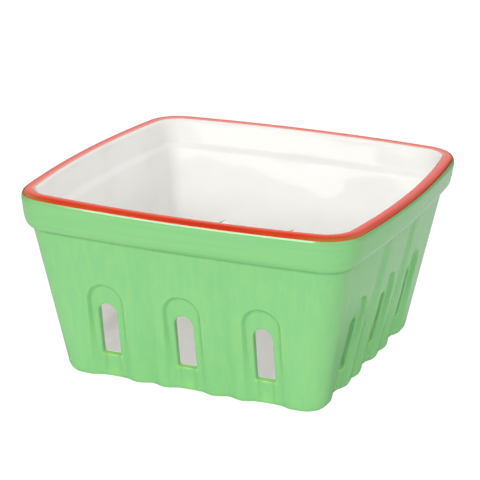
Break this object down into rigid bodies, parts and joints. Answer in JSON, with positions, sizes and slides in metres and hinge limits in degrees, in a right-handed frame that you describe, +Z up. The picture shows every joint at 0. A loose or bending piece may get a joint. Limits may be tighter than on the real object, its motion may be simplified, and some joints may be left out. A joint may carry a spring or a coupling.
{
  "type": "berry punnet",
  "caption": "Square tapered glazed ceramic punnet with a collar, a rounded red lip, fluted green sides, arched drain slots and a white inside.",
  "frame": {"origin": "centre of the foot, on the surface the punnet stands on", "axes": "+Z up, through the middle of the opening; X and Y square to the sides, which are all alike"},
  "size_m": [0.15, 0.15, 0.079],
  "materials": {
    "clay_body": "bare fired earthenware, matte",
    "green_outside_glaze": "hand-brushed green, glossy",
    "white_inside_glaze": "white, glossy",
    "red_rim_band": "hand-painted red under clear gloss"
  },
  "bodies": {
    "root": {"clay_body": "clay_body", "green_outside_glaze": "green_outside_glaze", "white_inside_glaze": "white_inside_glaze", "red_rim_band": "red_rim_band"}
  },
  "joints": []
}
